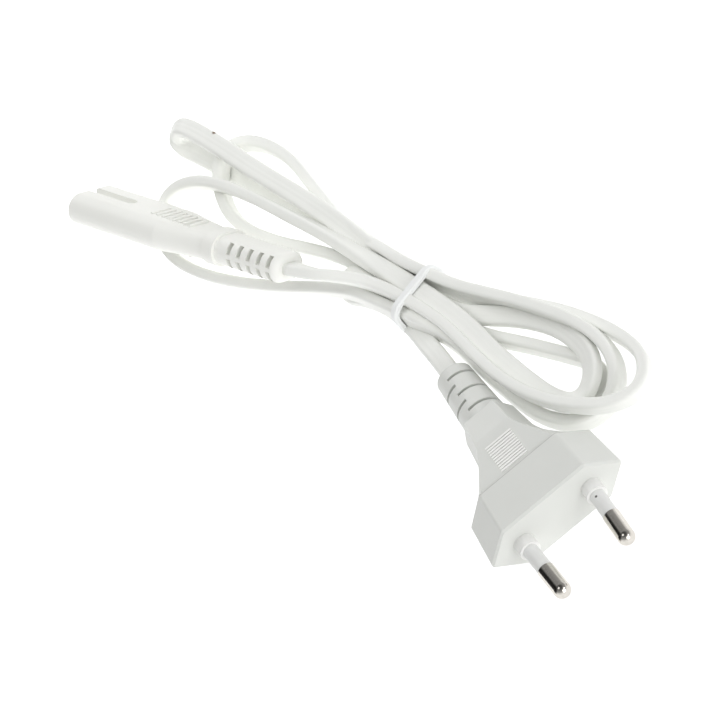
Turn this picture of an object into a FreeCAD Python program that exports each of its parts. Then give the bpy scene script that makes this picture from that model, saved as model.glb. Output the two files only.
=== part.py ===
import FreeCAD, Part
import Sketcher
import math
import os

# A flat twin power lead: a two-pin plug, a figure eight connector and the cord between
# them, gathered in loops by a ring tie and lying on a table.
# Frame: X the way the plug's pins point, Y across the plug, Z up, millimetres.
# Origin: the middle of the plug block's underside, which lies on the table.

Vector = FreeCAD.Vector
doc = FreeCAD.newDocument("FigureEightLead")
sheet = doc.addObject("Spreadsheet::Sheet", "Sizes")

sizes = {
    # plug block and neck
    "block_length": 12.4,
    "block_width": 36.6,
    "block_height": 13.7,
    "block_slant": 7.0,
    "block_taper": 1.35,
    "block_rear_slant": 6.4,
    "facing_ratio": 1.1,
    "block_round": 1.2,
    "face_edge": 0.5,
    "step_drop": 0.25,
    "neck_length": 12.5,
    "shoulder_back": 4.8,
    "shoulder_half": 11.7,
    "shoulder_slant": 3.8,
    "waist_back": 8.6,
    "waist_half": 9.0,
    "waist_slant": 3.0,
    "neck_end_half": 7.45,
    "neck_end_slant": 2.8,
    "ramp_length": 7.6,
    "ramp_end_half": 6.5,
    "ramp_end_slant": 2.4,
    "ramp_drop": 1.2,
    # grip ribs on the neck
    "rib_count": 11,
    "rib_pitch": 0.78,
    "rib_wide": 0.42,
    "rib_long": 7.0,
    "rib_height": 0.2,
    "rib_start": 1.2,
    # plug strain relief
    "relief_length": 17.8,
    "relief_front_radius": 5.3,
    "relief_end_radius": 4.2,
    "relief_end_edge": 0.8,
    "relief_slot_wide": 0.8,
    "relief_slot_core": 3.1,
    "relief_slot_pitch": 5.6,
    "relief_slot_inset": 3.5,
    "relief_slot_angle": 124,
    "right_slot_tilt": -45,
    "left_slot_tilt": 68,
    # pins
    "pin_spacing": 18.6,
    "pin_tip_spacing": 17.5,
    "pin_length": 19.0,
    "pin_diameter": 4.0,
    "pin_root": 8.0,
    "shank_diameter": 3.0,
    "sleeve_length": 10.0,
    "sleeve_diameter": 3.6,
    "sleeve_seat": 4.0,
    "boss_diameter": 4.9,
    "boss_length": 3.0,
    "bridge_depth": 6.0,
    "bridge_inset": 1.5,
    "bridge_width": 25.0,
    "bridge_height": 7.0,
    # connector, measured from the end of its strain relief to its front face
    "connector_length": 67.5,
    "nose_width": 15.2,
    "nose_height": 7.2,
    "nose_length": 29.5,
    "nose_edge": 0.45,
    "contact_pitch": 8.6,
    "groove_length": 15.2,
    "groove_wide": 2.6,
    "groove_depth": 1.5,
    "grip_width": 10.2,
    "grip_height": 6.6,
    "grip_middle": 5.5,
    "grip_middle_width": 11.8,
    "collar_length": 3.4,
    "collar_width": 11.2,
    "collar_height": 7.8,
    "ladder_length": 20.2,
    "ladder_width": 9.6,
    "ladder_height": 6.8,
    "ladder_end_round": 1.7,
    "corner_flat": 0.1,
    "window_count": 5,
    "window_pitch": 3.3,
    "window_wide": 1.4,
    "window_start": 1.6,
    "window_floor": 2.4,
    "window_rail": 0.9,
    "window_height": 2.5,
    "grip_rib_count": 8,
    "grip_rib_pitch": 1.85,
    "grip_rib_wide": 0.7,
    "grip_rib_height": 0.25,
    "grip_rib_half": 2.8,
    "grip_rib_start": 30.2,
    # connector insert and contacts
    "insert_lobe": 5.2,
    "insert_web": 2.4,
    "entry_diameter": 2.9,
    "entry_length": 2.6,
    "contact_length": 10.0,
    "contact_outer": 3.5,
    "contact_bore": 2.4,
    "contact_slit": 0.5,
    "contact_base": 1.2,
    "tail_diameter": 1.6,
    "tail_length": 4.0,
    # where the connector lies
    "exit_x": -95.2,
    "exit_y": -14.1,
    "exit_z": 13.0,
    "connector_turn": -155.3,
    "connector_dip": 4.2,
    "connector_roll": 45.0,
    # cord, its cores and the tie
    "cord_diameter": 2.7,
    "core_diameter": 1.3,
    "core_spacing": 1.6,
    "core_end_run": 8.0,
    "plug_core_straight": 16.0,
    "plug_core_spread": 29.0,
    "plug_core_offset": 1.4,
    "connector_core_straight": 20.0,
    "connector_core_spread": 34.0,
    "connector_core_offset": 0.5,
    "lead_straight": 6.5,
    "tail_straight": 7.0,
    "crimp_diameter": 2.4,
    "crimp_length": 3.6,
    "tie_x": -68.45,
    "tie_y": 4.55,
    "tie_turn": 15.6,
    "tie_width": 15.8,
    "tie_height": 11.8,
    "tie_wall": 1.15,
    "tie_band": 2.0,
    "tie_corner": 3.8,
    "tie_edge": 0.35,
}
for row, (alias, number) in enumerate(sizes.items(), start=1):
    sheet.set(f"A{row}", alias)
    sheet.set(f"B{row}", str(number))
    sheet.setAlias(f"B{row}", alias)
doc.recompute()


def size(alias):
    return float(sheet.get(alias))


def bind(feature, **formulas):
    for prop, formula in formulas.items():
        feature.setExpression(prop, formula)


def new_body(label):
    body = doc.addObject("PartDesign::Body", label)
    body.Label = label
    return body


def origin_plane(body, role):
    return next(item for item in body.Origin.OriginFeatures if item.Role == role)


def new_sketch(body, name, role, away="0", up="0", tilt=0.0):
    sketch = body.newObject("Sketcher::SketchObject", name)
    sketch.AttachmentSupport = [(origin_plane(body, role), "")]
    sketch.MapMode = "FlatFace"
    turn = FreeCAD.Rotation(Vector(1, 0, 0), tilt)
    sketch.AttachmentOffset = FreeCAD.Placement(Vector(0, 0, 0), turn)
    sketch.setExpression("AttachmentOffset.Base.z", away)
    sketch.setExpression("AttachmentOffset.Base.y", up)
    return sketch


def add_polygon(sketch, corners):
    # a closed outline whose every corner is held by two formulas
    count = len(corners)
    first = sketch.GeometryCount
    for index in range(count):
        here = 2 * math.pi * index / count
        there = 2 * math.pi * (index + 1) / count
        start = Vector(10 * math.cos(here), 10 * math.sin(here), 0)
        end = Vector(10 * math.cos(there), 10 * math.sin(there), 0)
        sketch.addGeometry(Part.LineSegment(start, end), False)
    for index in range(count):
        after = first + (index + 1) % count
        sketch.addConstraint(Sketcher.Constraint("Coincident", first + index, 2, after, 1))
    for index, (across, along) in enumerate(corners):
        line = first + index
        for kind, formula in (("DistanceX", across), ("DistanceY", along)):
            number = sketch.addConstraint(Sketcher.Constraint(kind, -1, 1, line, 1, 1.0))
            sketch.setExpression(f"Constraints[{number}]", formula)


def add_rounded(sketch, width, height, radius, middle="0"):
    # a rectangle with four round corners, its centre on the first sketch axis at middle
    quarter = math.pi / 2
    signs = [(1, 1), (-1, 1), (-1, -1), (1, -1)]
    arcs = []
    for index, (side, level) in enumerate(signs):
        circle = Part.Circle(Vector(4.0 * side, 3.0 * level, 0), Vector(0, 0, 1), 1.0)
        arc = Part.ArcOfCircle(circle, index * quarter, (index + 1) * quarter)
        arcs.append(sketch.addGeometry(arc, False))
    for index in range(4):
        start = sketch.getPoint(arcs[index], 2)
        end = sketch.getPoint(arcs[(index + 1) % 4], 1)
        line = sketch.addGeometry(Part.LineSegment(start, end), False)
        sketch.addConstraint(Sketcher.Constraint("Tangent", arcs[index], 2, line, 1))
        sketch.addConstraint(Sketcher.Constraint("Tangent", line, 2, arcs[(index + 1) % 4], 1))
        sketch.addConstraint(Sketcher.Constraint("Vertical" if index % 2 else "Horizontal", line))
    for index in range(1, 4):
        sketch.addConstraint(Sketcher.Constraint("Equal", arcs[0], arcs[index]))
    number = sketch.addConstraint(Sketcher.Constraint("Radius", arcs[0], 1.0))
    sketch.setExpression(f"Constraints[{number}]", radius)
    for index in (0, 2):
        side, level = signs[index]
        number = sketch.addConstraint(Sketcher.Constraint("DistanceX", -1, 1, arcs[index], 3, 4.0 * side))
        sketch.setExpression(f"Constraints[{number}]", f"{middle} + {side} * (({width}) / 2 - ({radius}))")
        number = sketch.addConstraint(Sketcher.Constraint("DistanceY", -1, 1, arcs[index], 3, 3.0 * level))
        sketch.setExpression(f"Constraints[{number}]", f"{level} * (({height}) / 2 - ({radius}))")


def add_pad(body, name, sketch, length):
    pad = body.newObject("PartDesign::Pad", name)
    pad.Profile = sketch
    bind(pad, Length=length)
    return pad


def add_pattern(body, name, original, sketch, axis, pitch, count):
    pattern = body.newObject("PartDesign::LinearPattern", name)
    pattern.Originals = [original]
    pattern.Direction = (sketch, [axis])
    bind(pattern, Length=f"{pitch} * ({count} - 1)", Occurrences=count)
    body.Tip = pattern
    return pattern


def edges_where(feature, wanted):
    return [f"Edge{index}" for index, edge in enumerate(feature.Shape.Edges, start=1) if wanted(edge)]


def add_fillet(body, name, feature, edges, radius):
    fillet = body.newObject("PartDesign::Fillet", name)
    fillet.Base = (feature, edges)
    bind(fillet, Radius=radius)
    body.Tip = fillet
    doc.recompute()
    return fillet


def add_chamfer(body, name, feature, edges, size_formula):
    chamfer = body.newObject("PartDesign::Chamfer", name)
    chamfer.Base = (feature, edges)
    bind(chamfer, Size=size_formula)
    body.Tip = chamfer
    doc.recompute()
    return chamfer


def fuse(name, pieces):
    joined = doc.addObject("Part::MultiFuse", name)
    joined.Shapes = pieces
    return joined


def cut(name, base, tool):
    remainder = doc.addObject("Part::Cut", name)
    remainder.Base = base
    remainder.Tool = tool
    return remainder


def bar(name, radius, height, x, y="0", z="0"):
    # a round bar along X that starts at the given point
    rod = doc.addObject("Part::Cylinder", name)
    bind(rod, Radius=radius, Height=height)
    rod.Placement.Rotation = FreeCAD.Rotation(Vector(0, 1, 0), 90)
    bind(rod, **{"Placement.Base.x": x, "Placement.Base.y": y, "Placement.Base.z": z})
    return rod


def block(name, length, width, height, x, y, z):
    box = doc.addObject("Part::Box", name)
    bind(box, Length=length, Width=width, Height=height)
    bind(box, **{"Placement.Base.x": x, "Placement.Base.y": y, "Placement.Base.z": z})
    return box


def arc_path(points, radii=None):
    # straight runs joined by tangent arcs as large as the two runs allow
    edges = []
    last = points[0]
    for before, corner, after in zip(points, points[1:], points[2:]):
        back = before - corner
        ahead = after - corner
        reach = 0.45 * min(back.Length, ahead.Length)
        back.normalize()
        ahead.normalize()
        turn = math.pi - back.getAngle(ahead)
        radius = reach / math.tan(turn / 2)
        bisector = (back + ahead).normalize()
        middle = corner + bisector * (radius / math.cos(turn / 2) - radius)
        start = corner + back * reach
        end = corner + ahead * reach
        edges.append(Part.LineSegment(last, start).toShape())
        edges.append(Part.Arc(start, middle, end).toShape())
        if radii is not None:
            radii.append(radius)
        last = end
    edges.append(Part.LineSegment(last, points[-1]).toShape())
    return Part.Wire(edges)


def six_sided(start, ahead, radius):
    # a closed six-sided outline square to the way ahead
    across = Vector(0, 0, 1).cross(ahead).normalize()
    upward = ahead.cross(across).normalize()
    corners = []
    for index in range(6):
        angle = math.radians(60 * index)
        corners.append(start + across * (radius * math.cos(angle)) + upward * (radius * math.sin(angle)))
    return Part.makePolygon(corners + corners[:1])


def plain_feature(label, shape):
    feature = doc.addObject("Part::Feature", label)
    feature.Label = label
    feature.Shape = shape
    return feature


middle_height = "Sizes.block_height / 2"
block_front = "Sizes.block_length / 2"
block_rear = "-Sizes.block_length / 2"
neck_rear = "-Sizes.block_length / 2 - Sizes.neck_length"
relief_front = "-Sizes.block_length / 2 - Sizes.neck_length - Sizes.ramp_length"
mid_z = size("block_height") / 2
face_x = size("block_length") / 2
plug_exit_x = -(face_x + size("neck_length") + size("ramp_length") + size("relief_length"))


def hexagon(half, slant, half_height):
    inner = f"({half} - {slant})"
    low = f"({middle_height} - ({half_height}))"
    high = f"({middle_height} + {half_height})"
    return [
        (half, middle_height),
        (inner, high),
        (f"-{inner}", high),
        (f"-({half})", middle_height),
        (f"-{inner}", low),
        (inner, low),
    ]


# plug moulding: six-sided block, a little narrower at its back, faced flat above and below
plug_form = new_body("plug_form")
rear_half = "(Sizes.block_width / 2 - Sizes.block_taper)"
face_sketch = new_sketch(plug_form, "face_outline", "YZ_Plane", away=block_front)
tall_half = f"({middle_height} * Sizes.facing_ratio)"
face_slant = "Sizes.block_slant * Sizes.facing_ratio"
add_polygon(face_sketch, hexagon("Sizes.block_width / 2", face_slant, tall_half))
rear_sketch = new_sketch(plug_form, "rear_outline", "YZ_Plane", away=block_rear)
rear_slant = "Sizes.block_rear_slant * Sizes.facing_ratio"
add_polygon(rear_sketch, hexagon(rear_half, rear_slant, tall_half))
block_loft = plug_form.newObject("PartDesign::AdditiveLoft", "block_loft")
block_loft.Profile = face_sketch
block_loft.Sections = [rear_sketch]
block_loft.Ruled = True
for name, level, upward in (("underside", "0", False), ("top", "Sizes.block_height", True)):
    sketch = new_sketch(plug_form, f"{name}_outline", "XY_Plane", away=level)
    add_polygon(sketch, [
        ("Sizes.block_length", "Sizes.block_width"),
        ("-Sizes.block_length", "Sizes.block_width"),
        ("-Sizes.block_length", "-Sizes.block_width"),
        ("Sizes.block_length", "-Sizes.block_width"),
    ])
    faced = plug_form.newObject("PartDesign::Pocket", f"{name}_faced")
    faced.Profile = sketch
    faced.Reversed = upward
    bind(faced, Length="Sizes.block_height")
doc.recompute()
long_edges = edges_where(faced, lambda edge: edge.BoundBox.XLength > size("block_length") / 2)
block_rounded = add_fillet(plug_form, "block_rounded", faced, long_edges, "Sizes.block_round")
face_edges = edges_where(block_rounded, lambda edge: edge.BoundBox.XMin > face_x - 0.01)
add_chamfer(plug_form, "face_edge", block_rounded, face_edges, "Sizes.face_edge")

# neck: hexagons that shrink in a hollow curve behind the block
neck_half_height = f"({middle_height} - Sizes.step_drop)"
neck_sections = [
    (block_rear, f"({rear_half} - Sizes.step_drop * 3)", "Sizes.block_rear_slant"),
    (f"{block_rear} - Sizes.shoulder_back", "Sizes.shoulder_half", "Sizes.shoulder_slant"),
    (f"{block_rear} - Sizes.waist_back", "Sizes.waist_half", "Sizes.waist_slant"),
    (neck_rear, "Sizes.neck_end_half", "Sizes.neck_end_slant"),
]
neck_sketches = []
for index, (place, half, slant) in enumerate(neck_sections):
    sketch = new_sketch(plug_form, f"neck_section_{index}", "YZ_Plane", away=place)
    add_polygon(sketch, hexagon(half, slant, neck_half_height))
    neck_sketches.append(sketch)
neck_loft = plug_form.newObject("PartDesign::AdditiveLoft", "neck_loft")
neck_loft.Profile = neck_sketches[0]
neck_loft.Sections = neck_sketches[1:]

# flat ramp from the neck down to the strain relief
ramp_start = new_sketch(plug_form, "ramp_start", "YZ_Plane", away=neck_rear)
add_polygon(ramp_start, hexagon("Sizes.neck_end_half", "Sizes.neck_end_slant", neck_half_height))
ramp_end = new_sketch(plug_form, "ramp_end", "YZ_Plane", away=relief_front)
ramp_height = f"({neck_half_height} - Sizes.ramp_drop)"
add_polygon(ramp_end, hexagon("Sizes.ramp_end_half", "Sizes.ramp_end_slant", ramp_height))
ramp_loft = plug_form.newObject("PartDesign::AdditiveLoft", "ramp_loft")
ramp_loft.Profile = ramp_start
ramp_loft.Sections = [ramp_end]
ramp_loft.Ruled = True

# strain relief: a round tapered tail turned about the cord's line
relief_sketch = new_sketch(plug_form, "relief_profile", "XZ_Plane", up=middle_height)
relief_end = f"({relief_front} - Sizes.relief_length)"
relief_inside = f"({relief_front} + Sizes.ramp_length / 2)"
add_polygon(relief_sketch, [
    (relief_inside, "0"),
    (relief_inside, "Sizes.relief_front_radius - Sizes.ramp_drop / 2"),
    (relief_front, "Sizes.relief_front_radius"),
    (relief_end, "Sizes.relief_end_radius"),
    (relief_end, "0"),
])
relief_turn = plug_form.newObject("PartDesign::Revolution", "relief_turn")
relief_turn.Profile = relief_sketch
relief_turn.ReferenceAxis = (relief_sketch, ["H_Axis"])
doc.recompute()
tail_edges = edges_where(relief_turn, lambda edge: edge.BoundBox.XMax < plug_exit_x + 0.01)
add_chamfer(plug_form, "relief_end_edge", relief_turn, tail_edges, "Sizes.relief_end_edge")


# staggered slots round the relief: three on one side, two half a pitch along on the other
def relief_slots(name, tilt, shift, count):
    sketch = new_sketch(plug_form, f"{name}_profile", "XZ_Plane", up=middle_height, tilt=tilt)
    start = f"({relief_end} + Sizes.relief_slot_inset + {shift})"
    finish = f"({start} + Sizes.relief_slot_wide)"
    above = "Sizes.relief_front_radius + 1"
    add_polygon(sketch, [
        (start, "Sizes.relief_slot_core"),
        (finish, "Sizes.relief_slot_core"),
        (finish, above),
        (start, above),
    ])
    groove = plug_form.newObject("PartDesign::Groove", name)
    groove.Profile = sketch
    groove.ReferenceAxis = (sketch, ["H_Axis"])
    groove.Midplane = True
    bind(groove, Angle="Sizes.relief_slot_angle")
    doc.recompute()
    return add_pattern(
        plug_form, f"{name}_row", groove, sketch, "H_Axis", "Sizes.relief_slot_pitch", str(count))


relief_slots("right_slots", size("right_slot_tilt"), "0", 3)
relief_slots("left_slots", size("left_slot_tilt"), "Sizes.relief_slot_pitch / 2", 2)

# fine grip ribs across the top of the neck
rib_root = f"{middle_height} + {neck_half_height} - 0.1"
rib_sketch = new_sketch(plug_form, "rib_outline", "XY_Plane", away=rib_root)
rib_front = f"({block_rear} - Sizes.rib_start)"
add_polygon(rib_sketch, [
    (rib_front, "-Sizes.rib_long / 2"),
    (rib_front, "Sizes.rib_long / 2"),
    (f"{rib_front} - Sizes.rib_wide", "Sizes.rib_long / 2"),
    (f"{rib_front} - Sizes.rib_wide", "-Sizes.rib_long / 2"),
])
rib_pad = add_pad(plug_form, "rib_pad", rib_sketch, "Sizes.rib_height + 0.1")
doc.recompute()
rib_row = add_pattern(
    plug_form, "rib_row", rib_pad, rib_sketch, "H_Axis", "Sizes.rib_pitch", "Sizes.rib_count")
rib_row.Reversed = True
doc.recompute()

# pins and sleeves: turned pieces that lean towards each other
lean = math.degrees(math.atan2((size("pin_spacing") - size("pin_tip_spacing")) / 2, size("pin_length")))


def turned_piece(label, side, corners):
    body = new_body(label)
    sketch = new_sketch(body, f"{label}_profile", "XY_Plane")
    add_polygon(sketch, corners)
    turn = body.newObject("PartDesign::Revolution", f"{label}_turn")
    turn.Profile = sketch
    turn.ReferenceAxis = (sketch, ["H_Axis"])
    doc.recompute()
    body.Placement.Rotation = FreeCAD.Rotation(Vector(0, 0, 1), -side * lean)
    bind(body, **{
        "Placement.Base.x": block_front,
        "Placement.Base.y": f"{side} * Sizes.pin_spacing / 2",
        "Placement.Base.z": middle_height,
    })
    return body


dome_start = "Sizes.pin_length - Sizes.pin_diameter / 2"
pin_pieces = []
for pole, side in (("live", 1), ("neutral", -1)):
    pin = turned_piece(f"{pole}_pin", side, [
        ("-Sizes.pin_root", "0"),
        ("-Sizes.pin_root", "Sizes.shank_diameter / 2"),
        ("Sizes.sleeve_length", "Sizes.shank_diameter / 2"),
        ("Sizes.sleeve_length", "Sizes.pin_diameter / 2"),
        (dome_start, "Sizes.pin_diameter / 2"),
        (dome_start, "0"),
    ])
    dome = pin.newObject("PartDesign::AdditiveSphere", f"{pole}_pin_dome")
    bind(dome, **{"Radius": "Sizes.pin_diameter / 2", "Placement.Base.x": dome_start})
    sleeve = turned_piece(f"{pole}_pin_sleeve", side, [
        ("-Sizes.sleeve_seat", "Sizes.shank_diameter / 2"),
        ("-Sizes.sleeve_seat", "Sizes.sleeve_diameter / 2"),
        ("Sizes.sleeve_length", "Sizes.sleeve_diameter / 2"),
        ("Sizes.sleeve_length", "Sizes.shank_diameter / 2"),
    ])
    pin_pieces += [pin, sleeve]

# bridge inside the block, with a boss round each pin that stands out of the face
bridge_parts = [block(
    "bridge_block", "Sizes.bridge_depth", "Sizes.bridge_width", "Sizes.bridge_height",
    f"{block_front} - Sizes.bridge_inset - Sizes.bridge_depth", "-Sizes.bridge_width / 2",
    f"{middle_height} - Sizes.bridge_height / 2")]
for pole, side in (("live", 1), ("neutral", -1)):
    bridge_parts.append(turned_piece(f"{pole}_boss", side, [
        ("-Sizes.bridge_inset - Sizes.bridge_depth / 2", "0"),
        ("-Sizes.bridge_inset - Sizes.bridge_depth / 2", "Sizes.boss_diameter / 2"),
        ("Sizes.boss_length", "Sizes.boss_diameter / 2"),
        ("Sizes.boss_length", "0"),
    ]))
bridge_form = fuse("bridge_form", bridge_parts)
plug_bridge = cut("plug_bridge", bridge_form, fuse("pin_set", pin_pieces))


def core_end(label, points):
    # one insulated core with six flat sides, mitred where it turns
    sweep = Part.BRepOffsetAPI.MakePipeShell(Part.makePolygon(points))
    sweep.setTransitionMode(1)
    sweep.add(six_sided(points[0], points[1] - points[0], size("core_diameter") / 2))
    sweep.build()
    sweep.makeSolid()
    return plain_feature(label, sweep.shape())


def crimp_barrel(label, end, ahead):
    # a six-sided crimp barrel round the last of a core, against its pin or contact
    run = ahead * size("crimp_length")
    outside = Part.Face(six_sided(end - run, ahead, size("crimp_diameter") / 2)).extrude(run)
    inside = Part.Face(six_sided(end - run, ahead, size("core_diameter") / 2)).extrude(run)
    return plain_feature(label, outside.cut(inside))


core_half = size("core_spacing") / 2
lean_cos = math.cos(math.radians(lean))
lean_sin = math.sin(math.radians(lean))
root_x = face_x - size("pin_root") * lean_cos
root_y = size("pin_spacing") / 2 + size("pin_root") * lean_sin
last_run = size("core_end_run")
plug_cores = []
plug_crimps = []
for pole, side in (("live", 1), ("neutral", -1)):
    root = Vector(root_x, side * root_y, mid_z)
    ahead = Vector(lean_cos, -side * lean_sin, 0)
    plug_crimps.append(crimp_barrel(f"plug_{pole}_crimp", root, ahead))
    plug_cores.append(core_end(f"plug_{pole}_core", [
        Vector(plug_exit_x, side * core_half, mid_z),
        Vector(plug_exit_x + size("plug_core_straight"), side * core_half, mid_z),
        Vector(plug_exit_x + size("plug_core_spread"), side * (core_half + size("plug_core_offset")), mid_z),
        root - ahead * last_run,
        root,
    ]))
plug_inner = [bridge_form] + pin_pieces + plug_cores + plug_crimps
plug_overmould = cut("plug_overmould", plug_form, fuse("plug_inside", plug_inner))

# connector moulding, along its own X from the end of the relief to the front face
connector_form = new_body("connector_form")
collar_start = "Sizes.ladder_length"
grip_start = "(Sizes.ladder_length + Sizes.collar_length)"
nose_start = "(Sizes.connector_length - Sizes.nose_length)"


def corner(height):
    return f"({height}) / 2 - Sizes.corner_flat"


def rounded_section(name, place, width, height):
    sketch = new_sketch(connector_form, name, "YZ_Plane", away=place)
    add_rounded(sketch, width, height, corner(height))
    return sketch


ladder_sketch = rounded_section("ladder_outline", "0", "Sizes.ladder_width", "Sizes.ladder_height")
ladder_pad = add_pad(connector_form, "ladder_pad", ladder_sketch, "Sizes.ladder_length")
doc.recompute()
end_edges = edges_where(ladder_pad, lambda edge: edge.BoundBox.XMax < 0.01)
add_fillet(connector_form, "ladder_end_round", ladder_pad, end_edges, "Sizes.ladder_end_round")
collar_sketch = rounded_section("collar_outline", collar_start, "Sizes.collar_width", "Sizes.collar_height")
collar_pad = add_pad(connector_form, "collar_pad", collar_sketch, "Sizes.collar_length")
doc.recompute()
grip_sketch = rounded_section("grip_outline", grip_start, "Sizes.grip_width", "Sizes.grip_height")
waist_sketch = rounded_section(
    "waist_outline", f"{grip_start} + Sizes.grip_middle", "Sizes.grip_middle_width", "Sizes.grip_height")
front_sketch = rounded_section("nose_outline", nose_start, "Sizes.nose_width", "Sizes.nose_height")
grip_loft = connector_form.newObject("PartDesign::AdditiveLoft", "grip_loft")
grip_loft.Profile = grip_sketch
grip_loft.Sections = [waist_sketch, front_sketch]
nose_sketch = rounded_section("nose_profile", nose_start, "Sizes.nose_width", "Sizes.nose_height")
nose_pad = add_pad(connector_form, "nose_pad", nose_sketch, "Sizes.nose_length")
doc.recompute()
nose_edges = edges_where(nose_pad, lambda edge: edge.BoundBox.XMin > size("connector_length") - 0.01)
add_chamfer(connector_form, "nose_edge", nose_pad, nose_edges, "Sizes.nose_edge")

# figure eight grooves along the middle of the nose, above and below
groove_middle = "(Sizes.connector_length - Sizes.groove_length / 2 + 1)"
for name, side in (("top_groove", 1), ("bottom_groove", -1)):
    floor = f"{side} * (Sizes.nose_height / 2 - Sizes.groove_depth)"
    sketch = new_sketch(connector_form, f"{name}_outline", "XY_Plane", away=floor)
    add_rounded(
        sketch, "Sizes.groove_length + 2", "Sizes.groove_wide", "Sizes.groove_wide / 2 - 0.05", groove_middle)
    pocket = connector_form.newObject("PartDesign::Pocket", name)
    pocket.Profile = sketch
    pocket.Reversed = side > 0
    bind(pocket, Length="Sizes.groove_depth + 1")
    doc.recompute()

# windows of the ladder relief: two rows on each side of the cord
window_sketch = new_sketch(connector_form, "window_outline", "YZ_Plane", away="Sizes.window_start")
for side in (1, -1):
    for level in (1, -1):
        near = f"{side} * Sizes.window_floor"
        far = f"{side} * Sizes.collar_width"
        low = f"{level} * Sizes.window_rail / 2"
        high = f"{level} * (Sizes.window_rail / 2 + Sizes.window_height)"
        add_polygon(window_sketch, [(near, low), (far, low), (far, high), (near, high)])
window_cut = connector_form.newObject("PartDesign::Pocket", "window_cut")
window_cut.Profile = window_sketch
window_cut.Reversed = True
bind(window_cut, Length="Sizes.window_wide")
doc.recompute()
add_pattern(
    connector_form, "window_row", window_cut, window_sketch, "N_Axis",
    "Sizes.window_pitch", "Sizes.window_count")

# grip ribs across the two flats, rooted in the thinner part of the grip
rib_sink = "(Sizes.nose_height - Sizes.grip_height) / 2 + Sizes.grip_rib_height"
for name, side in (("top_grip", 1), ("bottom_grip", -1)):
    base = f"{side} * (Sizes.nose_height / 2 - ({rib_sink}))"
    sketch = new_sketch(connector_form, f"{name}_outline", "XY_Plane", away=base)
    add_polygon(sketch, [
        ("Sizes.grip_rib_start", "-Sizes.grip_rib_half"),
        ("Sizes.grip_rib_start + Sizes.grip_rib_wide", "-Sizes.grip_rib_half"),
        ("Sizes.grip_rib_start + Sizes.grip_rib_wide", "Sizes.grip_rib_half"),
        ("Sizes.grip_rib_start", "Sizes.grip_rib_half"),
    ])
    pad = add_pad(connector_form, f"{name}_rib", sketch, f"Sizes.grip_rib_height + {rib_sink}")
    pad.Reversed = side < 0
    doc.recompute()
    add_pattern(
        connector_form, f"{name}_row", pad, sketch, "H_Axis", "Sizes.grip_rib_pitch", "Sizes.grip_rib_count")
    doc.recompute()

# insert in the nose: two lobes and a web, with a cavity for each contact
insert_length = "(Sizes.entry_length + Sizes.contact_length + Sizes.tail_length)"
insert_start = f"(Sizes.connector_length - {insert_length})"
cavity_end = "(Sizes.connector_length - Sizes.entry_length)"
tube_start = "(Sizes.connector_length - Sizes.entry_length - Sizes.contact_length)"
tail_start = "(Sizes.connector_length - Sizes.entry_length - Sizes.contact_length - Sizes.tail_length)"
insert_parts = [block(
    "insert_web", insert_length, "Sizes.contact_pitch", "Sizes.insert_web",
    insert_start, "-Sizes.contact_pitch / 2", "-Sizes.insert_web / 2")]
entries = []
contacts = []
for pole, side in (("live", -1), ("neutral", 1)):
    lane = f"{side} * Sizes.contact_pitch / 2"
    insert_parts.append(bar(f"{pole}_lobe", "Sizes.insert_lobe / 2", insert_length, insert_start, lane))
    entry = bar(f"{pole}_entry", "Sizes.entry_diameter / 2", "Sizes.entry_length + 1", cavity_end, lane)
    entries.append(entry)
    tube = bar(f"{pole}_tube", "Sizes.contact_outer / 2", "Sizes.contact_length", tube_start, lane)
    tail = bar(f"{pole}_tail", "Sizes.tail_diameter / 2", "Sizes.tail_length + 1", tail_start, lane)
    cavity = fuse(f"{pole}_cavity", [tube, tail])
    entries.append(cavity)
    bore = bar(
        f"{pole}_bore", "Sizes.contact_bore / 2", "Sizes.contact_length",
        f"{tube_start} + Sizes.contact_base", lane)
    slit = block(
        f"{pole}_slit", "Sizes.contact_length", "Sizes.contact_slit", "Sizes.contact_outer",
        f"{tube_start} + Sizes.contact_base * 2", f"{lane} - Sizes.contact_slit / 2", "0")
    contacts.append(cut(f"{pole}_contact_form", cavity, fuse(f"{pole}_hollow", [bore, slit])))
insert_form = fuse("insert_form", insert_parts)
insert_hollow = cut("connector_insert_form", insert_form, fuse("insert_cavities", entries))

tail_x = (size("connector_length") - size("entry_length") - size("contact_length") - size("tail_length"))
lane_y = size("contact_pitch") / 2
connector_cores = []
connector_crimps = []
for pole, side in (("live", -1), ("neutral", 1)):
    tail_end = Vector(tail_x, side * lane_y, 0)
    connector_crimps.append(crimp_barrel(f"connector_{pole}_crimp_form", tail_end, Vector(1, 0, 0)))
    connector_cores.append(core_end(f"connector_{pole}_core_form", [
        Vector(0, side * core_half, 0),
        Vector(size("connector_core_straight"), side * core_half, 0),
        Vector(size("connector_core_spread"), side * (core_half + size("connector_core_offset")), 0),
        tail_end - Vector(last_run, 0, 0),
        tail_end,
    ]))
connector_inside = fuse("connector_inside", [insert_form] + contacts + connector_cores + connector_crimps)
connector_cut = cut("connector_overmould_form", connector_form, connector_inside)

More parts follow.
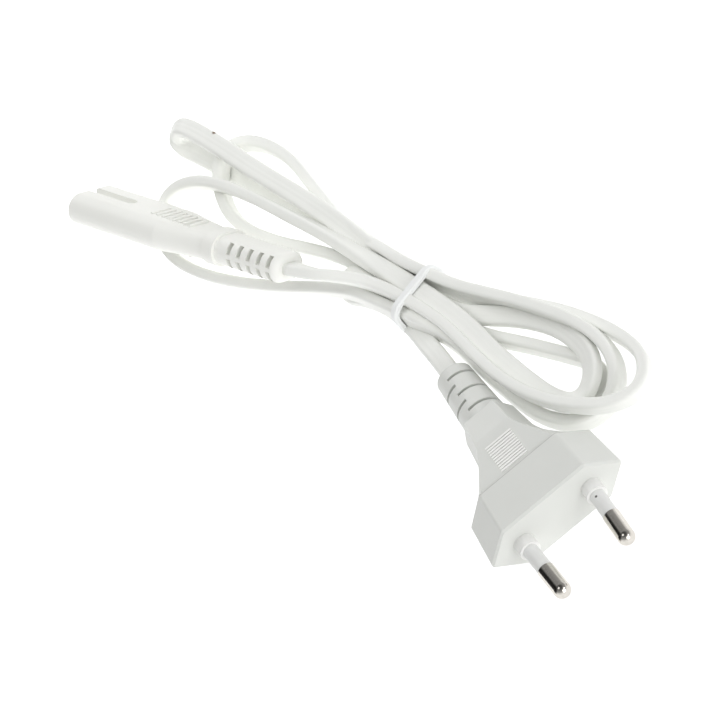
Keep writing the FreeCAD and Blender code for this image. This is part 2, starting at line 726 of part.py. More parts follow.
# tie: a rounded ring round the gathered cord
cord_tie = new_body("cord_tie")
tie_outer = new_sketch(cord_tie, "tie_outer", "YZ_Plane", away="-Sizes.tie_band / 2")
add_rounded(tie_outer, "Sizes.tie_width", "Sizes.tie_height", "Sizes.tie_corner")
tie_pad = add_pad(cord_tie, "tie_pad", tie_outer, "Sizes.tie_band")
tie_inner = new_sketch(cord_tie, "tie_inner", "YZ_Plane", away="-Sizes.tie_band / 2")
add_rounded(
    tie_inner, "Sizes.tie_width - 2 * Sizes.tie_wall", "Sizes.tie_height - 2 * Sizes.tie_wall",
    "Sizes.tie_corner - Sizes.tie_wall")
tie_hole = cord_tie.newObject("PartDesign::Pocket", "tie_hole")
tie_hole.Profile = tie_inner
tie_hole.Reversed = True
bind(tie_hole, Length="Sizes.tie_band")
doc.recompute()
tie_reach = Vector(0, size("tie_width") / 2, size("tie_height") / 2)


def on_outer_rim(edge):
    box = edge.BoundBox
    wide = max(box.YMax, -box.YMin) > tie_reach.y - 0.01
    high = max(box.ZMax, -box.ZMin) > tie_reach.z - 0.01
    return box.XLength < 0.01 and (wide or high)


rim_edges = edges_where(tie_hole, on_outer_rim)
add_chamfer(cord_tie, "tie_edge", tie_hole, rim_edges, "Sizes.tie_edge")
cord_tie.Placement.Rotation = FreeCAD.Rotation(Vector(0, 0, 1), size("tie_turn"))
bind(cord_tie, **{
    "Placement.Base.x": "Sizes.tie_x",
    "Placement.Base.y": "Sizes.tie_y",
    "Placement.Base.z": "Sizes.tie_height / 2",
})

# where the connector lies: the cord leaves it at the placement's base, straight out of the relief
connector_place = FreeCAD.Placement(
    Vector(size("exit_x"), size("exit_y"), size("exit_z")),
    FreeCAD.Rotation(size("connector_turn"), size("connector_dip"), size("connector_roll")))
lead_out = connector_place.multVec(Vector(-size("lead_straight"), 0, 0))

# cord route from the connector to the plug, loop by loop, each loop through the tie
route = [
    # from the connector to the tie
    (size("exit_x"), size("exit_y"), size("exit_z")),
    tuple(lead_out), (-83.6, -5.8, 12.0), (-76.6, -0.6, 9.6),
    # widest loop beside the plug
    (-59.0, 5.1, 8.8), (-47.8, 6.8, 8.9), (-36.8, 7.9, 8.9), (-25.8, 10.0, 8.6), (-15.3, 14.4, 8.2),
    (-6.6, 21.4, 7.8), (-3.6, 28.6, 7.3), (-5.8, 33.8, 6.8), (-12.3, 36.8, 6.3), (-22.8, 35.6, 5.8),
    (-35.3, 30.9, 5.5), (-45.8, 25.2, 5.5), (-53.6, 19.3, 5.6), (-60.6, 12.8, 5.6),
    # longest loop beside the connector
    (-78.4, 6.2, 5.7), (-90.8, 2.8, 7.2), (-102.8, 1.0, 8.5), (-115.8, -2.3, 8.8), (-129.8, -6.2, 9.5),
    (-142.8, -9.5, 10.4), (-152.8, -12.3, 10.6), (-158.3, -16.0, 8.2), (-157.3, -19.9, 4.6),
    (-149.8, -19.2, 2.2), (-139.8, -15.8, 1.8), (-127.8, -10.6, 1.9), (-114.8, -5.4, 2.2),
    (-101.8, -0.9, 3.2), (-89.8, 1.6, 4.0), (-77.5, 3.1, 5.5),
    # small loop beside the plug
    (-60.1, 8.9, 5.4), (-53.3, 15.5, 4.6), (-46.3, 20.8, 4.4), (-36.8, 25.2, 5.2), (-27.3, 27.5, 6.4),
    (-18.8, 27.0, 7.6), (-14.8, 23.5, 8.3), (-14.8, 18.8, 8.6), (-18.8, 15.9, 8.7), (-28.8, 13.5, 8.9),
    (-40.3, 11.7, 9.1), (-51.3, 10.8, 9.1), (-60.3, 8.9, 9.0),
    # loop that runs under the connector
    (-77.4, 3.0, 9.0), (-87.8, 0.9, 9.1), (-99.8, -1.7, 9.2), (-111.8, -6.0, 9.3), (-123.8, -10.3, 9.2),
    (-134.8, -15.7, 8.8), (-141.8, -20.8, 7.0), (-145.6, -26.3, 3.8), (-144.8, -31.3, 1.4),
    (-139.8, -34.6, 1.4), (-131.3, -34.9, 1.4), (-121.8, -32.2, 1.5), (-112.3, -26.8, 1.7),
    (-102.8, -19.6, 2.2), (-92.8, -11.8, 3.6), (-83.8, -6.0, 5.0), (-75.8, -3.4, 5.7),
    # loop that starts low beside the plug's neck
    (-59.8, 2.3, 7.6), (-52.3, 4.9, 5.3), (-43.8, 6.9, 3.2), (-33.8, 7.6, 2.0), (-24.8, 9.2, 1.5),
    (-16.8, 11.6, 1.5), (-12.0, 16.0, 1.6), (-10.8, 21.8, 2.4), (-12.3, 27.0, 4.4), (-16.3, 31.0, 6.8),
    (-23.8, 31.8, 8.0), (-33.8, 29.0, 8.5), (-46.8, 22.3, 8.7), (-53.8, 17.4, 8.9), (-61.2, 11.6, 8.8),
    # round open loop beside the connector
    (-78.4, 6.8, 9.0), (-88.8, 6.8, 7.7), (-99.8, 3.9, 5.0), (-107.8, 2.4, 4.3), (-117.8, 2.2, 4.2),
    (-129.8, 2.6, 4.8), (-140.3, -0.6, 5.4), (-146.4, -6.4, 5.7), (-145.2, -12.4, 5.5),
    (-138.8, -17.2, 5.0), (-130.8, -19.4, 4.4), (-122.3, -18.6, 3.8), (-113.3, -13.6, 3.2),
    (-104.8, -8.2, 2.8), (-96.8, -4.4, 2.6), (-86.3, -0.4, 2.6), (-77.0, 1.6, 2.7),
    # loop on the table beside the plug
    (-59.6, 6.6, 2.4), (-50.8, 11.7, 1.6), (-41.8, 16.6, 1.5), (-32.3, 22.8, 1.5), (-23.8, 26.6, 1.5),
    (-17.8, 26.2, 1.6), (-15.8, 22.4, 1.6), (-18.8, 18.0, 1.5), (-25.8, 14.2, 1.5), (-34.8, 11.7, 1.6),
    (-44.8, 10.3, 2.2), (-51.3, 8.4, 3.8), (-59.4, 5.0, 4.9),
    # short loop by the tie
    (-76.5, -0.1, 5.6), (-84.8, -2.8, 5.6), (-90.3, -4.9, 5.7), (-95.1, -6.6, 5.4), (-96.6, -8.9, 3.4),
    (-95.1, -9.8, 1.4), (-90.2, -8.2, 1.4), (-84.8, -5.4, 1.6), (-76.1, -1.7, 2.7),
    # from the tie to the plug
    (-62.6, 0.5, 3.1), (plug_exit_x - size("tail_straight"), 0.0, mid_z), (plug_exit_x, 0.0, mid_z),
]
route_points = [Vector(*point) for point in route]
radii = []
cord_path = arc_path(route_points, radii)
cord_section = six_sided(route_points[0], route_points[1] - route_points[0], size("cord_diameter") / 2)
power_cord = plain_feature("power_cord", cord_path.makePipe(Part.Face(cord_section)))
section_area = Part.Face(cord_section).Area
print("cord length", round(cord_path.Length, 1), "smallest radii", [round(r, 1) for r in sorted(radii)[:8]])
print("cord volume", round(power_cord.Shape.Volume, 1), "of", round(section_area * cord_path.Length, 1))

doc.recompute()

# the connector's pieces, turned together to where the connector lies
connector_pieces = {
    "connector_overmould": connector_cut,
    "connector_insert": insert_hollow,
    "live_contact": contacts[0],
    "neutral_contact": contacts[1],
    "connector_live_core": connector_cores[0],
    "connector_neutral_core": connector_cores[1],
    "connector_live_crimp": connector_crimps[0],
    "connector_neutral_crimp": connector_crimps[1],
}
nodes = {
    "plug_overmould": plug_overmould,
    "plug_bridge": plug_bridge,
    "cord_tie": cord_tie,
    "power_cord": power_cord,
}
for label in ("live_pin", "neutral_pin", "live_pin_sleeve", "neutral_pin_sleeve"):
    nodes[label] = doc.getObject(label)
for piece in plug_cores + plug_crimps:
    nodes[piece.Label] = piece
for label, source in connector_pieces.items():
    placed = plain_feature(label, source.Shape.copy())
    placed.Placement = connector_place
    nodes[label] = placed

os.makedirs("parts", exist_ok=True)
for item in doc.Objects:
    if "Invalid" in item.State or "Error" in item.State:
        raise RuntimeError(f"{item.Label} did not rebuild")
for label, item in nodes.items():
    shape = item.Shape
    if shape.isNull() or not shape.isValid() or shape.Volume <= 0:
        raise RuntimeError(f"{label} has no sound shape")
    print(label, "solids", len(shape.Solids), "volume", round(shape.Volume, 1))
for label, item in nodes.items():
    item.Shape.exportStep(f"parts/{label}.step")
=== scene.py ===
import math
import bpy
import bmesh
from mathutils import Matrix, Vector


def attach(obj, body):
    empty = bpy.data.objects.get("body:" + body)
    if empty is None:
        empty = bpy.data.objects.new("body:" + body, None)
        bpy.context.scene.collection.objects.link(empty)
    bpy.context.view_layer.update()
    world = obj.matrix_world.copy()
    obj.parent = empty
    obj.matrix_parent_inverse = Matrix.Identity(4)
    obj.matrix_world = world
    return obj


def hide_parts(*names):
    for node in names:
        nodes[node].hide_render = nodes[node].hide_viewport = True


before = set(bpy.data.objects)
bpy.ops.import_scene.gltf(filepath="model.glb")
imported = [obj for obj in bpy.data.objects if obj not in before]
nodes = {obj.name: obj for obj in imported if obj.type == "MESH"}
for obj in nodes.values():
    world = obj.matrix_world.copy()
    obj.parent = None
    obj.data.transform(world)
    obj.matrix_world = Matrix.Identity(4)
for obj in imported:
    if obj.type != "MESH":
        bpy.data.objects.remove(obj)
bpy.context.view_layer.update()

scene = bpy.context.scene
print("lead: frame loaded,", len(nodes), "pieces")


# the photograph's view, a long lens from above the plug's right corner
cameraSpec = {
    "place": (0.9984, 0.0801, 1.1302),
    "right": (0.4325, 0.7669, -0.4741),
    "up": (-0.5846, 0.6389, 0.5001),
    "lens": 352.6,
    "sensor": 36,
    "reach": 20,  # far clip
}


def makeCamera(spec):
    right = Vector(spec["right"]).normalized()
    back = right.cross(Vector(spec["up"])).normalized()
    up = back.cross(right)
    turn = Matrix((right, up, back)).transposed().to_4x4()
    data = bpy.data.cameras.new("photoCamera")
    data.lens = spec["lens"]
    data.sensor_width = spec["sensor"]
    data.clip_end = spec["reach"]
    camera = bpy.data.objects.new("photoCamera", data)
    camera.matrix_world = Matrix.Translation(spec["place"]) @ turn
    scene.collection.objects.link(camera)
    scene.camera = camera


makeCamera(cameraSpec)
scene.view_settings.view_transform = "Standard"
scene.view_settings.look = "None"
print("lead: camera set")


def newMaterial(name):
    material = bpy.data.materials.new(name)
    material.use_nodes = True
    return material, material.node_tree, material.node_tree.nodes["Principled BSDF"]


def addNode(tree, kind, **values):
    node = tree.nodes.new(kind)
    for key, value in values.items():
        if key in node.inputs:
            node.inputs[key].default_value = value
        else:
            setattr(node, key, value)
    return node


plasticSpec = {
    "cloud": 90.0,  # scale of the faint tint
    "shadeEnd": 0.3,
    "tintStart": 0.65,
    "duller": 0.06,  # roughness either side of the finish's own
    "glossier": 0.05,
    "grainDepth": 0.0001,
    "shine": 0.4,
    "speckCore": 0.4,  # share of a speck's radius in full colour
}


def softWhite(name, tint, shade, rough, grain, bump, specks=()):
    # satin white plastic: faint cloudy tint, fine moulded grain in bump and roughness, and any specks
    material, tree, shader = newMaterial(name)
    coords = addNode(tree, "ShaderNodeTexCoord")
    cloud = addNode(tree, "ShaderNodeTexNoise", Scale=plasticSpec["cloud"], Detail=3.0)
    fine = addNode(tree, "ShaderNodeTexNoise", Scale=grain, Detail=2.0)
    ramp = addNode(tree, "ShaderNodeValToRGB")
    ramp.color_ramp.elements[0].position = plasticSpec["shadeEnd"]
    ramp.color_ramp.elements[0].color = (*shade, 1)
    ramp.color_ramp.elements[1].position = plasticSpec["tintStart"]
    ramp.color_ramp.elements[1].color = (*tint, 1)
    spread = addNode(tree, "ShaderNodeMapRange")
    spread.inputs["To Min"].default_value = rough - plasticSpec["glossier"]
    spread.inputs["To Max"].default_value = rough + plasticSpec["duller"]
    relief = addNode(tree, "ShaderNodeBump", Strength=bump, Distance=plasticSpec["grainDepth"])
    link = tree.links.new
    link(coords.outputs["Object"], cloud.inputs["Vector"])
    link(coords.outputs["Object"], fine.inputs["Vector"])
    link(cloud.outputs["Fac"], ramp.inputs["Fac"])
    color = ramp.outputs["Color"]
    for speck in specks:
        gap = addNode(tree, "ShaderNodeVectorMath", operation="DISTANCE")
        gap.inputs[1].default_value = speck["place"]
        edge = addNode(tree, "ShaderNodeMapRange")
        edge.inputs["From Min"].default_value = speck["radius"]
        edge.inputs["From Max"].default_value = speck["radius"] * plasticSpec["speckCore"]
        blend = addNode(tree, "ShaderNodeMixRGB")
        blend.inputs["Color2"].default_value = (*speck["color"], 1)
        link(coords.outputs["Object"], gap.inputs[0])
        link(gap.outputs["Value"], edge.inputs["Value"])
        link(edge.outputs["Result"], blend.inputs["Fac"])
        link(color, blend.inputs["Color1"])
        color = blend.outputs["Color"]
    link(color, shader.inputs["Base Color"])
    link(fine.outputs["Fac"], spread.inputs["Value"])
    link(spread.outputs["Result"], shader.inputs["Roughness"])
    link(fine.outputs["Fac"], relief.inputs["Height"])
    link(relief.outputs["Normal"], shader.inputs["Normal"])
    shader.inputs["Specular IOR Level"].default_value = plasticSpec["shine"]
    return material


# small marks of handling
facetSpeck = {"place": (0.0001, -0.01275, 0.01225), "radius": 0.0002, "color": (0.3, 0.27, 0.22)}
sleeveDot = {"place": (0.01073, 0.0090, 0.00864), "radius": 0.0004, "color": (0.04, 0.035, 0.03)}
cordMark = {"place": (-0.14500, -0.00972, 0.01165), "radius": 0.0007, "color": (0.2, 0.14, 0.09)}

# painted shade: the plug's white is set darker than the other whites for the dimmer light on the plug
plugWhite = softWhite(
    "plugWhite", (0.722, 0.733, 0.702), (0.70, 0.711, 0.68), 0.42, 2600.0, 0.12, [facetSpeck])
connectorWhite = softWhite(
    "connectorWhite", (0.872, 0.876, 0.838), (0.852, 0.856, 0.818), 0.45, 2600.0, 0.12)
jacketWhite = softWhite(
    "jacketWhite", (0.878, 0.886, 0.852), (0.858, 0.866, 0.832), 0.38, 1800.0, 0.06, [cordMark])
tieWhite = softWhite("tieWhite", (0.89, 0.905, 0.90), (0.875, 0.89, 0.885), 0.35, 1500.0, 0.05)
sleeveWhite = softWhite(
    "sleeveWhite", (0.80, 0.805, 0.79), (0.77, 0.775, 0.76), 0.42, 2200.0, 0.1, [sleeveDot])
carrierWhite = softWhite("carrierWhite", (0.87, 0.87, 0.85), (0.85, 0.85, 0.83), 0.45, 2400.0, 0.1)


# painted shade: a dark line along the step where the plug's block meets its neck; painted highlight: a
# light band along the tops of the neck's ribs
plugShadeAndHighlightLines = [
    # painted shade: dark line at the step behind the plug's block
    {"tint": (0.42, 0.42, 0.40), "bands": {"X": (-0.00622, 0.00012)}},
    # painted highlight: light band at the height of the neck's rib tops
    {"tint": (0.93, 0.93, 0.91), "bands": {"X": (-0.0126, 0.0059), "Z": (0.01362, 0.00008)}},
]


def tintBands(material, lines):
    # painted shade and highlight: a tint where every named coordinate lies within its band, given as
    # middle and reach
    tree = material.node_tree
    link = tree.links.new
    base = tree.nodes["Principled BSDF"].inputs["Base Color"]
    coords = addNode(tree, "ShaderNodeTexCoord")
    parts = addNode(tree, "ShaderNodeSeparateXYZ")
    link(coords.outputs["Object"], parts.inputs["Vector"])
    for line in lines:
        blend = addNode(tree, "ShaderNodeMixRGB")
        blend.inputs["Color2"].default_value = (*line["tint"], 1)
        link(base.links[0].from_socket, blend.inputs["Color1"])
        mask = None
        for axis, (middle, reach) in line["bands"].items():
            test = addNode(tree, "ShaderNodeMath", operation="COMPARE")
            test.inputs[1].default_value = middle
            test.inputs[2].default_value = reach
            link(parts.outputs[axis], test.inputs[0])
            if mask is not None:
                both = addNode(tree, "ShaderNodeMath", operation="MULTIPLY")
                link(mask, both.inputs[0])
                link(test.outputs["Value"], both.inputs[1])
                test = both
            mask = test.outputs["Value"]
        link(mask, blend.inputs["Fac"])
        link(blend.outputs["Color"], base)


tintBands(plugWhite, plugShadeAndHighlightLines)


metalSpec = {
    "stretch": (9.0, 1.0, 1.0),  # marks run round the pins
    "marks": 700.0,
    "dullEnd": 0.25,
    "brightStart": 0.7,
    "glossier": 0.05,
    "duller": 0.08,
}


def platedMetal(name, bright, dull, rough):
    # drawn and plated metal: fine rings and faint handling marks in the roughness
    material, tree, shader = newMaterial(name)
    coords = addNode(tree, "ShaderNodeTexCoord")
    stretch = addNode(tree, "ShaderNodeMapping")
    stretch.inputs["Scale"].default_value = metalSpec["stretch"]
    marks = addNode(tree, "ShaderNodeTexNoise", Scale=metalSpec["marks"], Detail=4.0)
    ramp = addNode(tree, "ShaderNodeValToRGB")
    ramp.color_ramp.elements[0].position = metalSpec["dullEnd"]
    ramp.color_ramp.elements[0].color = (*dull, 1)
    ramp.color_ramp.elements[1].position = metalSpec["brightStart"]
    ramp.color_ramp.elements[1].color = (*bright, 1)
    spread = addNode(tree, "ShaderNodeMapRange")
    spread.inputs["To Min"].default_value = rough - metalSpec["glossier"]
    spread.inputs["To Max"].default_value = rough + metalSpec["duller"]
    link = tree.links.new
    link(coords.outputs["Object"], stretch.inputs["Vector"])
    link(stretch.outputs["Vector"], marks.inputs["Vector"])
    link(marks.outputs["Fac"], ramp.inputs["Fac"])
    link(ramp.outputs["Color"], shader.inputs["Base Color"])
    link(marks.outputs["Fac"], spread.inputs["Value"])
    link(spread.outputs["Result"], shader.inputs["Roughness"])
    shader.inputs["Metallic"].default_value = 1.0
    return material


pinNickel = platedMetal("pinNickel", (0.76, 0.73, 0.68), (0.66, 0.63, 0.58), 0.13)
contactBrass = platedMetal("contactBrass", (0.80, 0.63, 0.33), (0.66, 0.50, 0.24), 0.3)
coreBrown = softWhite("coreBrown", (0.22, 0.10, 0.05), (0.17, 0.08, 0.04), 0.45, 1800.0, 0.05)
coreBlue = softWhite("coreBlue", (0.06, 0.16, 0.46), (0.05, 0.13, 0.38), 0.45, 1800.0, 0.05)

finishes = {
    "plug_overmould": plugWhite,
    "plug_bridge": carrierWhite,
    "live_pin": pinNickel,
    "neutral_pin": pinNickel,
    "live_pin_sleeve": sleeveWhite,
    "neutral_pin_sleeve": sleeveWhite,
    "plug_live_core": coreBrown,
    "plug_neutral_core": coreBlue,
    "plug_live_crimp": contactBrass,
    "plug_neutral_crimp": contactBrass,
    "connector_overmould": connectorWhite,
    "connector_insert": carrierWhite,
    "live_contact": contactBrass,
    "neutral_contact": contactBrass,
    "connector_live_core": coreBrown,
    "connector_neutral_core": coreBlue,
    "connector_live_crimp": contactBrass,
    "connector_neutral_crimp": contactBrass,
    "cord_tie": tieWhite,
    "power_cord": jacketWhite,
}
for name, material in finishes.items():
    nodes[name].data.materials.clear()
    nodes[name].data.materials.append(material)
print("lead: finishes on", len(finishes), "pieces")


# flat twin cord along the listed route, with the lean of its wide side
cordSpec = {
    "width": 0.0045,
    "thick": 0.0027,
    "corner": 0.0008,
    "seamPlace": 0.00055,  # two fine moulded lines on each wide side
    "seamHalf": 0.0002,
    "seamDepth": 0.00004,
    "length": 1.178,
    "steps": 7,  # spline steps between route points
    "cornerSteps": 4,
    "weldGap": 1e-6,
}

# x, y, z in metres and the lean in degrees: 0 lies flat, 90 stands on its narrow side
cordRoute = [
    # from the connector to the tie
    (-0.0952, -0.0141, 0.0130, -45), (-0.0893, -0.0114, 0.0135, -60), (-0.0836, -0.0058, 0.0120, -70),
    (-0.0766, -0.0006, 0.0096, -85),
    # widest loop beside the plug
    (-0.0589, 0.0051, 0.0088, -88), (-0.0477, 0.0064, 0.0089, -88), (-0.0364, 0.0074, 0.0089, -86),
    (-0.0251, 0.0101, 0.0092, -84), (-0.0152, 0.0150, 0.0092, -84), (-0.0071, 0.0221, 0.0088, -84),
    (-0.0048, 0.0288, 0.0081, -84), (-0.0075, 0.0329, 0.0073, -84), (-0.0137, 0.0354, 0.0064, -86),
    (-0.0231, 0.0341, 0.0058, -88), (-0.0346, 0.0297, 0.0055, -88), (-0.0445, 0.0242, 0.0055, -88),
    (-0.0526, 0.0187, 0.0056, -88), (-0.0605, 0.0128, 0.0056, -80),
    # longest loop beside the connector
    (-0.0783, 0.0062, 0.0057, -60), (-0.0902, 0.0025, 0.0072, -30), (-0.1021, 0.0001, 0.0085, -8),
    (-0.1151, -0.0034, 0.0088, 0), (-0.1290, -0.0075, 0.0095, 0), (-0.1420, -0.0108, 0.0104, 0),
    (-0.1520, -0.0138, 0.0106, 0), (-0.1556, -0.0156, 0.0098, 0), (-0.1572, -0.0177, 0.0066, 2),
    (-0.1557, -0.0180, 0.0031, 8), (-0.1512, -0.0159, 0.0021, 15), (-0.1417, -0.0128, 0.0019, 15),
    (-0.1290, -0.0085, 0.0019, 10), (-0.1154, -0.0043, 0.0022, 10), (-0.1022, -0.0007, 0.0032, 20),
    (-0.0897, 0.0016, 0.0040, 40), (-0.0774, 0.0031, 0.0055, 55),
    # small loop beside the plug
    (-0.0593, 0.0085, 0.0054, 30), (-0.0519, 0.0149, 0.0049, 10), (-0.0456, 0.0201, 0.0049, 5),
    (-0.0366, 0.0247, 0.0056, 10), (-0.0273, 0.0265, 0.0066, 20), (-0.0215, 0.0261, 0.0071, 24),
    (-0.0175, 0.0236, 0.0067, 20), (-0.0160, 0.0198, 0.0056, 12), (-0.0177, 0.0161, 0.0051, 6),
    (-0.0225, 0.0137, 0.0058, 2), (-0.0296, 0.0120, 0.0074, 0), (-0.0400, 0.0102, 0.0086, 0),
    (-0.0504, 0.0094, 0.0091, 0), (-0.0596, 0.0077, 0.0090, 0),
    # loop that runs under the connector
    (-0.0773, 0.0030, 0.0090, 10), (-0.0869, 0.0001, 0.0091, 45), (-0.0988, -0.0031, 0.0092, 60),
    (-0.1108, -0.0074, 0.0093, 70), (-0.1229, -0.0114, 0.0092, 76), (-0.1342, -0.0160, 0.0088, 78),
    (-0.1421, -0.0212, 0.0070, 80), (-0.1463, -0.0268, 0.0040, 84), (-0.1442, -0.0314, 0.0026, 90),
    (-0.1390, -0.0345, 0.0025, 95), (-0.1303, -0.0348, 0.0025, 100), (-0.1214, -0.0317, 0.0026, 108),
    (-0.1121, -0.0263, 0.0026, 112), (-0.1027, -0.0194, 0.0027, 112), (-0.0929, -0.0117, 0.0036, 105),
    (-0.0837, -0.0060, 0.0050, 95), (-0.0757, -0.0034, 0.0057, 85),
    # loop that starts low beside the plug's neck
    (-0.0597, 0.0023, 0.0076, 82), (-0.0522, 0.0049, 0.0056, 84), (-0.0428, 0.0057, 0.0038, 86),
    (-0.0338, 0.0071, 0.0027, 88), (-0.0250, 0.0088, 0.0024, 88), (-0.0177, 0.0119, 0.0024, 88),
    (-0.0128, 0.0164, 0.0024, 88), (-0.0115, 0.0217, 0.0030, 86), (-0.0125, 0.0265, 0.0047, 82),
    (-0.0168, 0.0301, 0.0068, 80), (-0.0244, 0.0305, 0.0080, 80), (-0.0334, 0.0279, 0.0085, 80),
    (-0.0460, 0.0219, 0.0087, 80), (-0.0537, 0.0174, 0.0089, 80), (-0.0625, 0.0124, 0.0088, 80),
    # round open loop beside the connector
    (-0.0778, 0.0065, 0.0090, 82), (-0.0854, 0.0049, 0.0077, 84), (-0.0969, 0.0014, 0.0050, 85),
    (-0.1061, 0.0006, 0.0043, 86), (-0.1172, 0.0004, 0.0042, 86), (-0.1289, 0.0004, 0.0048, 86),
    (-0.1383, -0.0026, 0.0054, 86), (-0.1434, -0.0074, 0.0057, 88), (-0.1432, -0.0123, 0.0055, 90),
    (-0.1376, -0.0163, 0.0050, 95), (-0.1299, -0.0184, 0.0044, 100), (-0.1230, -0.0179, 0.0038, 104),
    (-0.1130, -0.0135, 0.0032, 106), (-0.1047, -0.0082, 0.0028, 106), (-0.0972, -0.0042, 0.0027, 105),
    (-0.0862, -0.0004, 0.0027, 100), (-0.0769, 0.0016, 0.0028, 95),
    # loop on the table beside the plug
    (-0.0595, 0.0066, 0.0028, 90), (-0.0496, 0.0114, 0.0025, 90), (-0.0412, 0.0167, 0.0024, 90),
    (-0.0310, 0.0225, 0.0024, 90), (-0.0231, 0.0265, 0.0024, 90), (-0.0171, 0.0261, 0.0024, 90),
    (-0.0151, 0.0223, 0.0024, 90), (-0.0181, 0.0179, 0.0024, 90), (-0.0252, 0.0142, 0.0024, 90),
    (-0.0343, 0.0117, 0.0024, 90), (-0.0445, 0.0103, 0.0026, 95), (-0.0512, 0.0084, 0.0038, 100),
    (-0.0593, 0.0050, 0.0049, 110),
    # short loop by the tie
    (-0.0764, -0.0001, 0.0056, 120), (-0.0847, -0.0028, 0.0056, 140), (-0.0864, -0.0036, 0.0057, 160),
    (-0.0886, -0.0044, 0.0054, 180), (-0.0901, -0.0067, 0.0034, 180), (-0.0886, -0.0076, 0.0014, 180),
    (-0.0865, -0.0068, 0.0014, 180), (-0.0847, -0.0054, 0.0016, 180), (-0.0760, -0.0017, 0.0027, 180),
    # from the tie to the plug
    (-0.0636, -0.0004, 0.0042, 180), (-0.0557, -0.0003, 0.0062, 180), (-0.0511, 0.0, 0.00685, 180),
    (-0.0441, 0.0, 0.00685, 180),
]


def cordProfile(spec):
    # half outline of one wide side, from edge to edge, then the other side turned about
    wide, high, corner = spec["width"] / 2, spec["thick"] / 2, spec["corner"]
    steps = spec["cornerSteps"]
    turn = math.radians(90 / steps)
    side = []
    for step in range(steps + 1):
        angle = turn * step
        side.append((-wide + corner - corner * math.cos(angle), high - corner + corner * math.sin(angle)))
    for place in (-spec["seamPlace"], spec["seamPlace"]):
        side.append((place - spec["seamHalf"], high))
        side.append((place, high - spec["seamDepth"]))
        side.append((place + spec["seamHalf"], high))
    for step in range(steps + 1):
        angle = turn * (steps - step)
        side.append((wide - corner + corner * math.cos(angle), high - corner + corner * math.sin(angle)))
    outline = side + [(-x, -y) for x, y in side]
    curve = bpy.data.curves.new("cordProfile", "CURVE")
    curve.dimensions = "2D"
    spline = curve.splines.new("POLY")
    spline.points.add(len(outline) - 1)
    for point, (x, y) in zip(spline.points, reversed(outline)):
        point.co = (x, y, 0, 1)
    spline.use_cyclic_u = True
    profile = bpy.data.objects.new("cordProfile", curve)
    scene.collection.objects.link(profile)
    return profile


def makeCord(spec, route):
    curve = bpy.data.curves.new("cordLine", "CURVE")
    curve.dimensions = "3D"
    curve.twist_mode = "Z_UP"
    curve.resolution_u = spec["steps"]
    spline = curve.splines.new("NURBS")
    spline.points.add(len(route) - 1)
    for point, (x, y, z, lean) in zip(spline.points, route):
        point.co = (x, y, z, 1)
        point.tilt = math.radians(lean)
    spline.order_u = 3
    spline.use_endpoint_u = True
    line = bpy.data.objects.new("cordLine", curve)
    scene.collection.objects.link(line)
    bpy.context.view_layer.update()
    bare = bpy.data.meshes.new_from_object(line.evaluated_get(bpy.context.evaluated_depsgraph_get()))
    path = [vertex.co.copy() for vertex in bare.vertices]
    profile = cordProfile(spec)
    curve.bevel_mode = "OBJECT"
    curve.bevel_object = profile
    curve.use_fill_caps = True
    bpy.context.view_layer.update()
    mesh = bpy.data.meshes.new_from_object(line.evaluated_get(bpy.context.evaluated_depsgraph_get()))
    mesh.name = "powerCord"
    bpy.data.objects.remove(line)
    bpy.data.objects.remove(profile)
    bpy.data.meshes.remove(bare)
    form = bmesh.new()
    form.from_mesh(mesh)
    bmesh.ops.remove_doubles(form, verts=form.verts, dist=spec["weldGap"])
    bmesh.ops.recalc_face_normals(form, faces=form.faces)
    form.to_mesh(mesh)
    form.free()
    mesh.shade_smooth()
    mesh.materials.clear()
    mesh.materials.append(jacketWhite)
    cord = bpy.data.objects.new("powerCord", mesh)
    scene.collection.objects.link(cord)
    return cord, path


powerCord, cordPath = makeCord(cordSpec, cordRoute)
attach(powerCord, "root")
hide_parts("power_cord")
print("lead: cord laid,", len(cordPath), "steps")


# pale floor that glows, most strongly beneath the connector, as painted light on the object's undersides,
# and a sky that is bright round the rim and dark overhead
stageSpec = {
    "floorSize": 4.0,
    "floorColor": (0.4, 0.4, 0.4),
    "floorRough": 0.9,
    "floorDrop": 0.0004,
    # painted light: the floor's glow, strongest beneath the connector, lights the object from below
    "floorGlow": [(-0.24, 0.75), (-0.165, 1.3), (0.0, 0.8)],  # place along X and strength
    "sky": [(0.0, 1.0), (0.22, 0.9), (0.45, 0.35), (0.72, 0.28), (0.9, 0.08)],  # height and brightness
    "darkSide": (-0.5, -0.78, 0.37),  # a dark patch of the room, which the pins reflect
    "darkEdge": (0.75, 0.9),  # nearness where the patch starts and is full
    "darkLeft": 0.04,  # light left in it
}


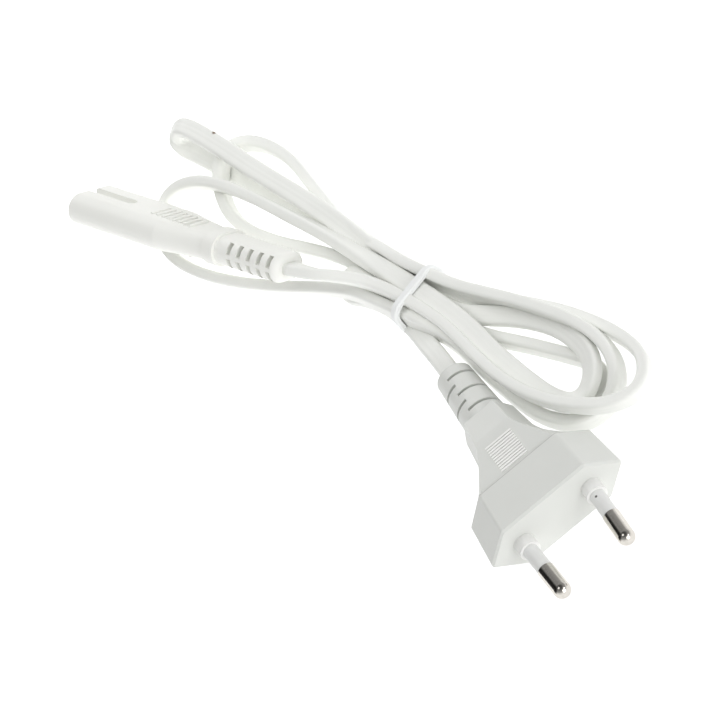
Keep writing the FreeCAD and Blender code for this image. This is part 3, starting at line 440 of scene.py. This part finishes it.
def makeFloor(spec):
    form = bmesh.new()
    bmesh.ops.create_grid(form, x_segments=1, y_segments=1, size=spec["floorSize"] / 2)
    mesh = bpy.data.meshes.new("paleFloor")
    form.to_mesh(mesh)
    form.free()
    material, tree, shader = newMaterial("paleFloor")
    shader.inputs["Base Color"].default_value = (*spec["floorColor"], 1)
    shader.inputs["Roughness"].default_value = spec["floorRough"]
    shader.inputs["Specular IOR Level"].default_value = 0.0
    shader.inputs["Emission Color"].default_value = (1, 1, 1, 1)
    coords = addNode(tree, "ShaderNodeTexCoord")
    parts = addNode(tree, "ShaderNodeSeparateXYZ")
    tree.links.new(coords.outputs["Object"], parts.inputs["Vector"])
    outer, middle, inner = spec["floorGlow"]
    rise = addNode(tree, "ShaderNodeMapRange")
    fall = addNode(tree, "ShaderNodeMapRange")
    for ramp, start, end in ((rise, outer, middle), (fall, middle, inner)):
        ramp.inputs["From Min"].default_value = start[0]
        ramp.inputs["From Max"].default_value = end[0]
        ramp.inputs["To Min"].default_value = start[1]
        ramp.inputs["To Max"].default_value = end[1]
        tree.links.new(parts.outputs["X"], ramp.inputs["Value"])
    glow = addNode(tree, "ShaderNodeMath", operation="MINIMUM")
    tree.links.new(rise.outputs["Result"], glow.inputs[0])
    tree.links.new(fall.outputs["Result"], glow.inputs[1])
    tree.links.new(glow.outputs["Value"], shader.inputs["Emission Strength"])
    mesh.materials.append(material)
    floor = bpy.data.objects.new("paleFloor", mesh)
    floor.location.z = -spec["floorDrop"]
    scene.collection.objects.link(floor)


makeFloor(stageSpec)


# soft round lamps: metres and watts, and the near one isn't mirrored in the pins
lampSpecs = {
    "highLamp": {
        "place": (0.03, -0.30, 1.15), "aim": (-0.06, 0, 0), "size": 0.5, "power": 0.8, "mirrored": True,
    },
    "frontLamp": {
        "place": (1.05, 0.35, 0.42), "aim": (-0.03, 0, 0), "size": 0.8, "power": 4.7, "mirrored": True,
    },
    "sparkLamp": {
        "place": (0.67, 0.73, 0.70), "aim": (0, 0, 0), "size": 0.35, "power": 0.9, "mirrored": True,
    },
    "rimLamp": {
        "place": (-1.6, -0.05, 0.75), "aim": (-0.05, 0, 0), "size": 0.9, "power": 5.0, "mirrored": True,
    },
    "nearLamp": {
        "place": (-0.18, -0.03, 0.5), "aim": (-0.12, 0, 0), "size": 0.45, "power": 1.25, "mirrored": False,
    },
}


def makeLamp(name, spec):
    data = bpy.data.lights.new(name, "AREA")
    data.shape = "DISK"
    data.size = spec["size"]
    data.energy = spec["power"]
    lamp = bpy.data.objects.new(name, data)
    turn = (Vector(spec["aim"]) - Vector(spec["place"])).to_track_quat("-Z", "Y")
    lamp.matrix_world = Matrix.Translation(spec["place"]) @ turn.to_matrix().to_4x4()
    lamp.visible_glossy = spec["mirrored"]
    scene.collection.objects.link(lamp)


for name, spec in lampSpecs.items():
    makeLamp(name, spec)


def makeSky(spec):
    world = bpy.data.worlds.new("studio")
    world.use_nodes = True
    tree = world.node_tree
    coords = addNode(tree, "ShaderNodeTexCoord")
    parts = addNode(tree, "ShaderNodeSeparateXYZ")
    ramp = addNode(tree, "ShaderNodeValToRGB")
    stops = ramp.color_ramp.elements
    while len(stops) < len(spec["sky"]):
        stops.new(0.5)
    for stop, (height, bright) in zip(stops, spec["sky"]):
        stop.position = height
        stop.color = (bright, bright, bright, 1)
    tree.links.new(coords.outputs["Generated"], parts.inputs["Vector"])
    tree.links.new(parts.outputs["Z"], ramp.inputs["Fac"])
    near = addNode(tree, "ShaderNodeVectorMath", operation="DOT_PRODUCT")
    near.inputs[1].default_value = spec["darkSide"]
    shade = addNode(tree, "ShaderNodeMapRange")
    shade.inputs["From Min"].default_value = spec["darkEdge"][0]
    shade.inputs["From Max"].default_value = spec["darkEdge"][1]
    shade.inputs["To Min"].default_value = 1.0
    shade.inputs["To Max"].default_value = spec["darkLeft"]
    tree.links.new(coords.outputs["Generated"], near.inputs[0])
    tree.links.new(near.outputs["Value"], shade.inputs["Value"])
    tree.links.new(shade.outputs["Result"], tree.nodes["Background"].inputs["Strength"])
    tree.links.new(ramp.outputs["Color"], tree.nodes["Background"].inputs["Color"])
    scene.world = world


makeSky(stageSpec)
print("lead: stage lit")
